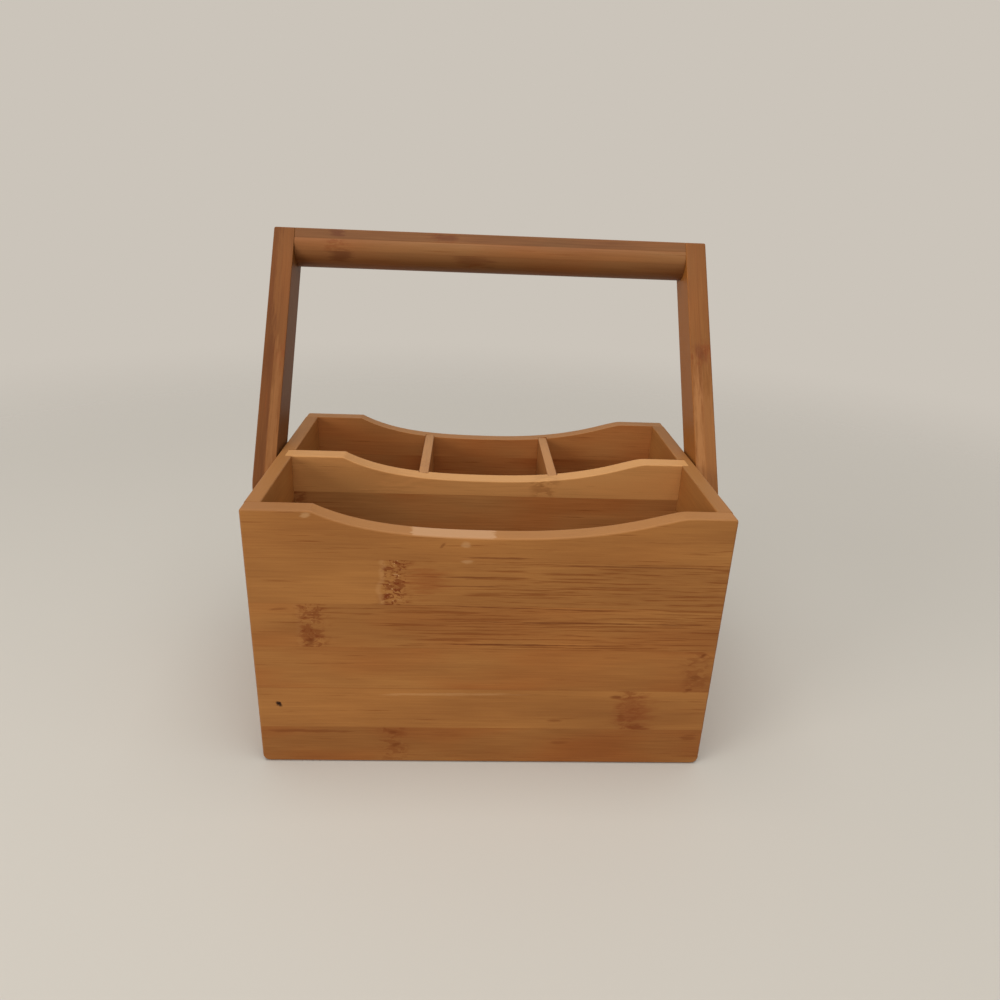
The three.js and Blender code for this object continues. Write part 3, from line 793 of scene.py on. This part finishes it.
def fluted_dowels():
    """The dowel's tree: a star-shaped section along a line, thinner at both ends, put at every point."""
    tree, given = repeat_tree("fluted_dowels", {
        "Length": "Float", "Radius": "Float", "Flute depth": "Float", "Flutes": "Int", "Chamfer": "Float",
        "Direction": "Vector", "Seed": "Int", "Material": "Material",
    })
    half = add(tree, MATH, {0: given["Length"], 1: 0.5}, operation="MULTIPLY")
    minus = add(tree, MATH, {0: half, 1: -1.0}, operation="MULTIPLY")
    start = add(tree, "ShaderNodeCombineXYZ", {2: minus})
    end = add(tree, "ShaderNodeCombineXYZ", {2: half})
    line = add(tree, "GeometryNodeCurvePrimitiveLine", {"Start": start, "End": end})
    line = add(tree, "GeometryNodeResampleCurve", {"Curve": line, "Count": 33})
    run = add(tree, "GeometryNodeSplineParameter", out="Length")
    rest = add(tree, MATH, {0: given["Length"], 1: run}, operation="SUBTRACT")
    from_end = add(tree, MATH, {0: run, 1: rest}, operation="MINIMUM")
    taper = add(tree, RANGE, {0: from_end, 1: 0.0, 2: given["Chamfer"], 3: 0.78, 4: 1.0})
    line = add(tree, "GeometryNodeSetCurveRadius", {"Curve": line, "Radius": taper})
    inner = add(tree, MATH, {0: given["Radius"], 1: given["Flute depth"]}, operation="SUBTRACT")
    star = add(tree, "GeometryNodeCurveStar", {"Points": given["Flutes"], "Inner Radius": inner,
                                               "Outer Radius": given["Radius"]})
    dowel = add(tree, "GeometryNodeCurveToMesh", {"Curve": line, "Profile Curve": star, "Fill Caps": True})
    put_at_points(tree, given, dowel, given["Direction"])
    return tree


def birch(name, stretch):
    """Plain birch dowel rod, pressed and unfinished: matt pale cream, with faint short grain along it."""
    material, tree = material_tree(name)
    place = add(tree, "ShaderNodeTexCoord", out="Object")
    drawn = add(tree, "ShaderNodeMapping", {"Vector": place, "Scale": stretch})
    grain = add(tree, NOISE, {"Vector": drawn, "Scale": 1.0, "Detail": 3.0, "Roughness": 0.6})
    colour = add(tree, MIX, {0: grain, 6: srgb("#B9966A"), 7: srgb("#DEC79F")}, 2, data_type="RGBA")
    rough = add(tree, RANGE, {0: grain, 3: 0.6, 4: 0.75})
    relief = add(tree, "ShaderNodeBump", {"Strength": 0.3, "Distance": 0.0001, "Height": grain})
    shader = add(tree, "ShaderNodeBsdfPrincipled",
                 {"Base Color": colour, "Roughness": rough, "IOR": 1.5, "Normal": relief})
    add(tree, "ShaderNodeOutputMaterial", {0: shader})
    return material


dowel_tree = fluted_dowels()
CORNER_DOWEL_Y = FACE_IN - 4  # its middle, so that a third of it is in the face board
corner_spots = [(x, face * CORNER_DOWEL_Y, z) for face in (-1, 1) for x in (-CORNER_DOWEL_X, CORNER_DOWEL_X)
                for z in CORNER_DOWEL_Z]
corner_sizes = {"Length": 22 * MM, "Radius": 2.5 * MM, "Flute depth": 0.25 * MM, "Flutes": 14,
                "Chamfer": 1 * MM, "Direction": (math.pi / 2, 0, 0), "Seed": 4}
corner_birch = birch("pressed_birch_corner", (1500, 60, 1500))
corner_dowels = repeated("corner_dowels", corner_spots, dowel_tree, corner_sizes, corner_birch)
corner_nodes = [f"{face}_{side}_dowel_{i}" for face in ("front", "back") for side in ("left", "right")
                for i in (1, 2, 3)]
finish(corner_dowels, corner_birch, "dowel_wood", "box", *corner_nodes)


# The bottom brads: twelve zinc-plated steel brads, 1.6 mm thick and 15 mm long without the point, driven up
# through the bottom board into the walls and the middle divider until their heads lie flush.
def brads():
    """The brad's tree: a tapered head, a shank and a point, one above the other, put at every point."""
    tree, given = repeat_tree("brads", {
        "Head radius": "Float", "Head height": "Float", "Shank radius": "Float", "Shank length": "Float",
        "Point length": "Float", "Seed": "Int", "Material": "Material",
    })
    shape = add(tree, "GeometryNodeJoinGeometry")
    bottom = 0.0
    for length, low_radius, top_radius in (
        (given["Head height"], given["Head radius"], given["Shank radius"]),
        (given["Shank length"], given["Shank radius"], given["Shank radius"]),
        (given["Point length"], given["Shank radius"], 0.0),
    ):
        part = add(tree, "GeometryNodeMeshCone", {"Vertices": 16, "Radius Top": top_radius,
                                                  "Radius Bottom": low_radius, "Depth": length})
        lift = add(tree, "ShaderNodeCombineXYZ", {2: bottom})
        part = add(tree, "GeometryNodeTransform", {"Geometry": part, "Translation": lift})
        tree.links.new(part, shape.node.inputs[0])
        bottom = add(tree, MATH, {0: bottom, 1: length}, operation="ADD")
    put_at_points(tree, given, shape, (0, 0, 0))
    return tree


def zinc_steel():
    """Steel fittings, cold formed and zinc plated: a cool pale grey with cloudy patches, satin with faint rub
    marks from handling."""
    material, tree = material_tree("zinc_plated_steel")
    place = add(tree, "ShaderNodeTexCoord", out="Object")
    cloud = add(tree, NOISE, {"Vector": place, "Scale": 260.0, "Detail": 4.0, "Roughness": 0.6})
    rub_at = add(tree, "ShaderNodeMapping", {"Vector": place, "Scale": (900, 2600, 2600)})
    rub = add(tree, NOISE, {"Vector": rub_at, "Scale": 1.0, "Detail": 2.0})
    colour = add(tree, MIX, {0: cloud, 6: srgb("#A9ABAA"), 7: srgb("#D2D1CB")}, 2, data_type="RGBA")
    rough = add(tree, RANGE, {0: rub, 1: 0.3, 2: 0.7, 3: 0.26, 4: 0.44})
    relief = add(tree, "ShaderNodeBump", {"Strength": 0.12, "Distance": 0.00005, "Height": rub})
    shader = add(tree, "ShaderNodeBsdfPrincipled",
                 {"Base Color": colour, "Metallic": 1.0, "Roughness": rough, "Normal": relief})
    add(tree, "ShaderNodeOutputMaterial", {0: shader})
    return material


zinc = zinc_steel()
brad_sizes = {"Head radius": 1.5 * MM, "Head height": 0.8 * MM, "Shank radius": 0.8 * MM,
              "Shank length": 14.2 * MM, "Point length": 0.8 * MM, "Seed": 9}
bottom_brads = repeated("bottom_brads", [(x, y, 0) for x, y in brad_spots], brads(), brad_sizes, zinc)
finish(bottom_brads, zinc, "steel", "box", *[f"bottom_brad_{i}" for i in range(1, 13)])


# The pivots: on each side a zinc-plated steel screw with a round head and a hexagon socket. It passes a
# washer in the upright's recess, the upright, a spacer washer and the end board, and its thread holds in the
# middle divider. Both washers are stamped from 1.1 mm sheet.
SPACER_X = 127
SPACER_R = 8
WASHER_X = 137
WASHER_R = 5.7
HEAD_X = 138.1
CORE_R = 2.0
SHANK_R = 2.5
thread = []
for k in range(20):
    thread += [(CORE_R, 101.5 + k), (CORE_R, 101.8 + k), (SHANK_R, 102.1 + k), (SHANK_R, 102.2 + k)]
screw_profile = [
    (0, 96.5), (0.7, 97.4), (1.5, 99.5), (CORE_R, 101.2), *thread, (CORE_R, 122), (SHANK_R, 122.3),
    (SHANK_R, HEAD_X), (4.4, HEAD_X), (4.6, HEAD_X + 0.2), (4.6, HEAD_X + 1.2), (4.45, HEAD_X + 1.8),
    (4.1, HEAD_X + 2.35), (3.5, HEAD_X + 2.75), (2.9, HEAD_X + 2.95), (2.4, HEAD_X + 3), (2.0, HEAD_X + 3),
    (1.55, HEAD_X + 2.8, 6), (1.5, HEAD_X + 1.3, 6), (0, HEAD_X + 1.1),
]


def washer(radius, start):
    """The section of a washer from its inner face, with small chamfers round the rim and the 5.8 mm bore."""
    return [(2.9, start + 0.2), (3.1, start), (radius - 0.3, start), (radius, start + 0.3),
            (radius, start + 0.8), (radius - 0.3, start + 1.1), (3.1, start + 1.1), (2.9, start + 0.9),
            (2.9, start + 0.2)]


for side, side_name in ((-1, "left"), (1, "right")):
    for part, node, profile in (
        ("screw", "pivot_screw", screw_profile),
        ("spacer", "spacer_washer", washer(SPACER_R, SPACER_X)),
        ("washer", "head_washer", washer(WASHER_R, WASHER_X)),
    ):
        placed = [(radius, side * along, *hexagon) for radius, along, *hexagon in profile]
        steel_part = turned(f"{side_name}_handle_{part}", placed, (0, 0, PIVOT_Z), 0, sides=48)
        doubles = bmesh.new()
        doubles.from_mesh(steel_part.data)
        bmesh.ops.remove_doubles(doubles, verts=doubles.verts, dist=1e-6)
        bmesh.ops.recalc_face_normals(doubles, faces=doubles.faces)
        doubles.to_mesh(steel_part.data)
        doubles.free()
        cut_out(steel_part, [])
        finish(steel_part, zinc, "steel", "box", f"{side_name}_{node}")


# The handle's uprights: two bars of 13.5 x 24 mm, glued up from two 6.75 mm bamboo plies of different tone,
# with round lower ends. They hang on the pivot screws outside the end boards and lean back 35 degrees.
BAR_IN = 128.4
BAR_OUT = 141.9
BAR_R = 12
TOP = 169
TOP_R = 1.3
BAR_ARRIS = 1.1
BAR_INNER_ARRIS = 0.5
LEAN = math.radians(35)
lean = Matrix.Translation((0, 0, PIVOT_Z * MM)) @ Matrix.Rotation(-LEAN, 4, "X")
GRIP_DOWEL_Y = 5.5
GRIP_DOWEL_Z = 160
GRIP_HOLE_R = 3.1
GRIP_HOLE_FROM = 107.8
GRIP_HOLE_TO = 138.7


def grip_holes():
    """The dowel holes that join the crossbar to the uprights, two on each side."""
    return [drill((side * GRIP_HOLE_FROM, y, GRIP_DOWEL_Z), side * GRIP_HOLE_TO, 0, GRIP_HOLE_R)
            for side in (-1, 1) for y in (-GRIP_DOWEL_Y, GRIP_DOWEL_Y)]


# Recess for the head washer, chamfered round its mouth, and the screw's hole through the rest of the bar.
RECESS_FLOOR = 136.7
RECESS_R = 6.0
MOUTH_R = 6.7
pivot_hole = [(0, 120), (SCREW_HOLE_R, 120), (SCREW_HOLE_R, RECESS_FLOOR), (RECESS_R, RECESS_FLOOR),
              (RECESS_R, BAR_OUT - 0.5), (MOUTH_R, BAR_OUT + 0.2), (MOUTH_R, BAR_OUT + PAST),
              (0, BAR_OUT + PAST)]
# The plies from left to right. The last mark on each side colours the bar's whole inner face: darker on the
# left bar as painted shade, lighter on the right bar as painted light, as if lit from the left.
PLY = (BAR_OUT - BAR_IN) / 2
left_plies = [(150, 0, 0.02, 0.2, 0.2, 0.5), (78, 0.5, 0.31, 0.0, 0.0, 0.5)]
right_plies = [(86, 0.65, 0.46, 0.0, 0.1, 0.8), (90, 0.75, 0.36, 0.0, 0.1, 0.3)]
left_marks_and_shade = [(38, -132.4, 52, 3.4, 0, 0.3, "#A87444"), (134, -136.4, 52, 2.6, 0, 0.8, "#7E4D21"),
              (78, -BAR_IN, 320, 0.4, 0, 0.8, "#643A12")]
right_marks_and_light = [(36, 131.8, 56, 3.0, 0, 0.5, "#AC7646"), (30, 137, 58, 12, 0, 0.25, "#B27C4A"),
               (90, 134.6, 8, 3.6, -20, 0.5, "#66300F"), (78, BAR_IN, 320, 0.4, 0, 0.8, "#9E6128")]
ROUND_STEPS = 32
turns = [math.pi * k / ROUND_STEPS for k in range(ROUND_STEPS + 1)]
foot = [(-BAR_R * math.cos(turn), -BAR_R * math.sin(turn), 0) for turn in turns]
bar_outline = rounded([*foot, (BAR_R, TOP, TOP_R), (-BAR_R, TOP, TOP_R)])
for side, bar_name, node, plies, bar_marks_light_and_shade in (
    (-1, "left_upright_bar", "handle_left_upright", left_plies, left_marks_and_shade),
    (1, "right_upright_bar", "handle_right_upright", right_plies, right_marks_and_light),
):
    near, far = sorted((side * BAR_IN, side * BAR_OUT))
    eases = (BAR_ARRIS, BAR_INNER_ARRIS) if side < 0 else (BAR_INNER_ARRIS, BAR_ARRIS)
    bar = eased_board(bar_name, bar_outline, (1, 2, 0), near, far, *eases)
    hole_profile = [(radius, side * along) for radius, along in pivot_hole]
    cut_out(bar, [turned("cutter", hole_profile, (0, 0, 0), 0, sides=48), *grip_holes()])
    mark_grain(bar, (2, 0, 1))
    bar_bamboo = carbonised_bamboo(bar_name, plies, 50 + side, pale="#9F6832", deep="#63370F",
                                   rim_tone="#8F5E34", pitch=PLY, first_edge=near, marks=bar_marks_light_and_shade)
    bar.data.transform(lean)
    finish(bar, bar_bamboo, "handle_bamboo", "handle", node)


# The crossbar: the grip between the uprights, glued up from bamboo plies that lie flat. Its top is square and
# its lower half is routed round for the fingers; a fine line shows where the top ply meets the next.
GRIP_ROUND_Z = 161.5
GRIP_END = 128.35
GRIP_STEPS = 40
turns = [math.pi * k / GRIP_STEPS for k in range(GRIP_STEPS + 1)]
grip_under = [(-BAR_R * math.cos(turn), GRIP_ROUND_Z - 0.4 - BAR_R * math.sin(turn), 0) for turn in turns]
grip_line = [(BAR_R - 0.1, GRIP_ROUND_Z, 0), (BAR_R, GRIP_ROUND_Z + 0.3, 0)]
grip_outline = rounded([*grip_under, *grip_line, (BAR_R, TOP, TOP_R), (-BAR_R, TOP, TOP_R),
                        *[(-y, z, 0) for y, z, _ in reversed(grip_line)]])
grip = eased_board("crossbar_grip", grip_outline, (1, 2, 0), -GRIP_END, GRIP_END, 0.25, 0.25)
cut_out(grip, grip_holes())
mark_grain(grip, (0, 2, 1))
GRIP_PLY = 7.5
grip_plies = [
    (-13, 0.5, 0.4, 0.0, 0.1, 0.9),
    (-101, 0.6, 0.56, 0.0, 0.1, 0.8),
    (-32, 0.6, 0.26, 0.0, 0.1, 0.6),
]
grip_smudge = "#5A2A0E"
grip_marks = [(-101, 166, 6, 3.6, 0, 0.65, grip_smudge), (-98, 152, 10, 3, 0, 0.6, grip_smudge),
              (-32, 165, 12, 3, 0, 0.6, grip_smudge), (-12, 152, 16, 3, 0, 0.4, grip_smudge)]
grip_bamboo = carbonised_bamboo("grip", grip_plies, 61.3, pale="#A06F42", deep="#613B1A",
                                rim_tone="#8F5E34", pitch=GRIP_PLY, first_edge=TOP - 3 * GRIP_PLY,
                                marks=grip_marks)
grip.data.transform(lean)
finish(grip, grip_bamboo, "handle_bamboo", "handle", "handle_crossbar")


# The grip dowels: two fluted birch dowels, 6 mm thick and 30 mm long, at each end of the crossbar. Two
# thirds of each is glued into the crossbar's end, the rest into a blind hole in the upright.
GRIP_DOWEL_X = 123.25
grip_sizes = {"Length": 30 * MM, "Radius": 3 * MM, "Flute depth": 0.3 * MM, "Flutes": 16, "Chamfer": 1.2 * MM,
              "Direction": (0, math.pi / 2, 0), "Seed": 7}
grip_spots = [(side * GRIP_DOWEL_X, y, GRIP_DOWEL_Z)
              for side in (-1, 1) for y in (-GRIP_DOWEL_Y, GRIP_DOWEL_Y)]
grip_birch = birch("pressed_birch_grip", (60, 1500, 1500))
grip_dowels = repeated("grip_dowels", grip_spots, dowel_tree, grip_sizes, grip_birch)
grip_dowels.data.transform(lean)
finish(grip_dowels, grip_birch, "dowel_wood", "handle", "handle_left_dowel_1", "handle_left_dowel_2",
       "handle_right_dowel_1", "handle_right_dowel_2")
